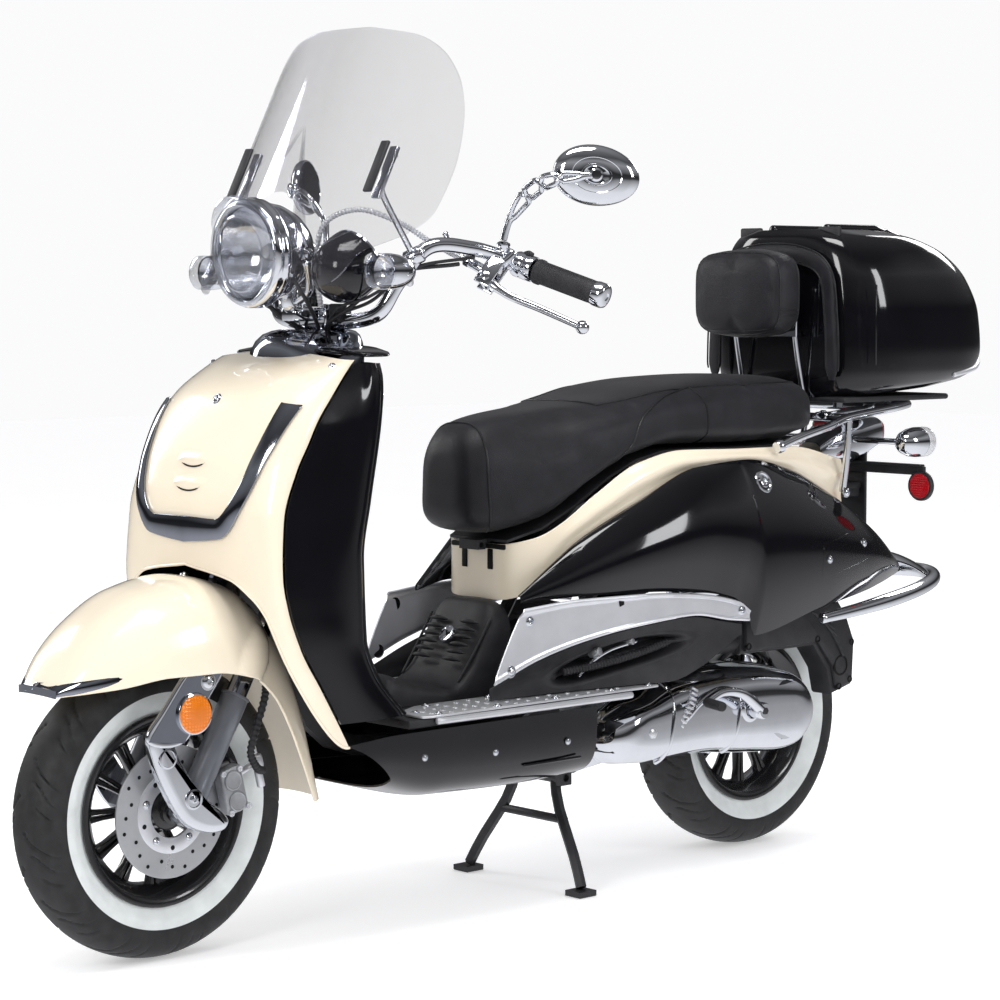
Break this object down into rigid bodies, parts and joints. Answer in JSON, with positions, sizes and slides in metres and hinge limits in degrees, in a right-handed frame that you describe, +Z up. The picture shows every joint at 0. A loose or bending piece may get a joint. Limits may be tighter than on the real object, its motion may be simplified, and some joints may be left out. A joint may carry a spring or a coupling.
{
  "type": "moped scooter",
  "caption": "Retro step-through moped scooter with curved leg shield, clear windshield, whitewall tyres, padded backrest and lidded rear top box on a chrome rack.",
  "frame": {"origin": "on the ground under the middle of the whole length and width, both tyres and the stand's feet at Z 0", "axes": "+X to the rider's left, +Y to the rear, +Z up; the front wheel points to -Y"},
  "size_m": [0.754, 1.937, 1.338],
  "materials": {
    "cream_paint": "gloss cream",
    "black_gloss": "high gloss black",
    "chrome": "polished chrome plate",
    "silver_trim": "satin silver",
    "tread_aluminium": "brushed plate with bolts",
    "black_plastic": "fine grained black",
    "vinyl": "black grained vinyl with piping",
    "tyre": "black tread with white side wall",
    "grip_rubber": "ribbed black",
    "rim_paint": "satin black",
    "fork_grey": "satin grey",
    "disc_steel": "ground steel, drilled",
    "cast_metal": "as cast",
    "frame_steel": "black paint",
    "clear_screen": "clear acrylic sheet",
    "red_lens": "clear red"
  },
  "bodies": {
    "chassis": {"main_frame": "frame_steel", "front_shield": "cream_paint", "leg_shield": "black_gloss", "shield_collar": "chrome", "shield_garnish": "chrome", "floorboard": "black_plastic", "footplate_left": "tread_aluminium", "footplate_right": "tread_aluminium", "lower_fairing": "black_gloss", "side_duct_left": "black_plastic", "side_duct_right": "black_plastic", "centre_cover": "cream_paint", "side_panel_left": "black_gloss", "side_panel_right": "black_gloss", "side_trim_left": "silver_trim", "side_trim_right": "silver_trim", "rear_bumper": "chrome", "rear_rack": "chrome", "tail_lamp": "red_lens", "rear_signal_left": "chrome", "rear_signal_right": "chrome", "plate_bracket": "black_plastic", "fuel_tank": "frame_steel", "box_base": "black_gloss", "box_pad": "vinyl"},
    "lid": {"box_lid": "black_gloss"},
    "seat": {"seat_base": "black_plastic", "seat_cushion": "vinyl", "backrest_frame": "chrome", "backrest_pad": "vinyl"},
    "engine": {"engine_block": "cast_metal", "drive_case": "chrome", "air_box": "black_plastic", "muffler": "chrome"},
    "rear_wheel": {"rear_tyre": "tyre", "rear_rim": "rim_paint"},
    "kick": {"kick_lever": "chrome"},
    "stand": {"centre_stand": "frame_steel"},
    "shock_upper": {"shock_body": "chrome"},
    "shock_lower": {"shock_rod": "chrome"},
    "steering": {"steering_stem": "chrome", "handlebar": "chrome", "headlamp": "chrome", "windshield": "clear_screen", "front_fender": "cream_paint", "instrument_pods": "black_plastic", "front_signal_left": "chrome", "front_signal_right": "chrome", "grip_left": "grip_rubber"},
    "throttle": {"throttle_grip": "grip_rubber"},
    "lever_l": {"brake_lever_left": "chrome"},
    "lever_r": {"brake_lever_right": "chrome"},
    "mirror_l": {"mirror_left": "chrome"},
    "mirror_r": {"mirror_right": "chrome"},
    "starter": {"starter_button": "red_lens"},
    "fork": {"fork_lower": "fork_grey", "brake_caliper": "cast_metal"},
    "front_wheel": {"front_tyre": "tyre", "front_rim": "rim_paint", "brake_disc": "disc_steel"}
  },
  "joints": [
    {"name": "steering_turn", "type": "hinge", "parent": "chassis", "child": "steering", "pos_m": [0, -0.51108, 0.7], "axis": [0, 0.4226, 0.9063], "range_deg": [-28, 28]},
    {"name": "fork_travel", "type": "slide", "parent": "steering", "child": "fork", "axis": [0, 0.4848, 0.8746], "range_m": [0, 0.055], "stiffness_N_per_m": 9000, "springref_m": -0.06},
    {"name": "front_wheel_spin", "type": "hinge", "parent": "fork", "child": "front_wheel", "pos_m": [0, -0.7525, 0.216], "axis": [1, 0, 0], "continuous": true},
    {"name": "throttle_twist", "type": "hinge", "parent": "steering", "child": "throttle", "pos_m": [-0.289, -0.2075, 0.96375], "axis": [-0.9054, 0.2859, -0.3137], "range_deg": [0, 80], "stiffness_Nm_per_rad": 0.4, "springref_deg": -28.65},
    {"name": "lever_left_pull", "type": "hinge", "parent": "steering", "child": "lever_l", "pos_m": [0.196, -0.2795, 0.966], "axis": [0.5038, -0.7248, 0.47], "range_deg": [0, 9], "stiffness_Nm_per_rad": 4, "springref_deg": -8.59},
    {"name": "lever_right_pull", "type": "hinge", "parent": "steering", "child": "lever_r", "pos_m": [-0.196, -0.2795, 0.966], "axis": [0.5038, 0.7248, -0.47], "range_deg": [0, 9], "stiffness_Nm_per_rad": 4, "springref_deg": -8.59},
    {"name": "mirror_left_turn", "type": "hinge", "parent": "steering", "child": "mirror_l", "pos_m": [0.214, -0.2525, 1.04], "axis": [0, 0, 1], "range_deg": [-30, 30]},
    {"name": "mirror_right_turn", "type": "hinge", "parent": "steering", "child": "mirror_r", "pos_m": [-0.214, -0.2525, 1.04], "axis": [0, 0, 1], "range_deg": [-30, 30]},
    {"name": "starter_press", "type": "slide", "parent": "steering", "child": "starter", "axis": [-0.2702, -0.9583, -0.0936], "range_m": [0, 0.0025], "stiffness_N_per_m": 400, "springref_m": -0.002},
    {"name": "seat_hinge", "type": "hinge", "parent": "chassis", "child": "seat", "pos_m": [0, -0.1335, 0.554], "axis": [1, 0, 0], "range_deg": [0, 45]},
    {"name": "lid_hinge", "type": "hinge", "parent": "chassis", "child": "lid", "pos_m": [0, 0.604, 1.059], "axis": [1, 0, 0], "range_deg": [0, 65]},
    {"name": "engine_swing", "type": "hinge", "parent": "chassis", "child": "engine", "pos_m": [0, -0.0425, 0.338], "axis": [1, 0, 0], "range_deg": [0, 5], "stiffness_Nm_per_rad": 3600, "springref_deg": -5.73},
    {"name": "rear_wheel_spin", "type": "hinge", "parent": "engine", "child": "rear_wheel", "pos_m": [0, 0.4775, 0.216], "axis": [1, 0, 0], "continuous": true},
    {"name": "kick_start", "type": "hinge", "parent": "engine", "child": "kick", "pos_m": [0.175, 0.3425, 0.262], "axis": [1, 0, 0], "range_deg": [0, 45], "stiffness_Nm_per_rad": 6, "springref_deg": -11.46},
    {"name": "stand_fold", "type": "hinge", "parent": "chassis", "child": "stand", "pos_m": [0, 0.0025, 0.176], "axis": [1, 0, 0], "range_deg": [0, 78]},
    {"name": "shock_upper_pivot", "type": "hinge", "parent": "chassis", "child": "shock_upper", "pos_m": [-0.082, 0.3625, 0.566], "axis": [1, 0, 0], "range_deg": [-1, 6]},
    {"name": "shock_lower_pivot", "type": "hinge", "parent": "engine", "child": "shock_lower", "pos_m": [-0.082, 0.4475, 0.3], "axis": [1, 0, 0], "range_deg": [-4, 1]}
  ],
  "couplings": [
    {"joint": "shock_upper_pivot", "follows": "engine_swing", "ratio": 0.664},
    {"joint": "shock_lower_pivot", "follows": "engine_swing", "ratio": -0.336}
  ]
}
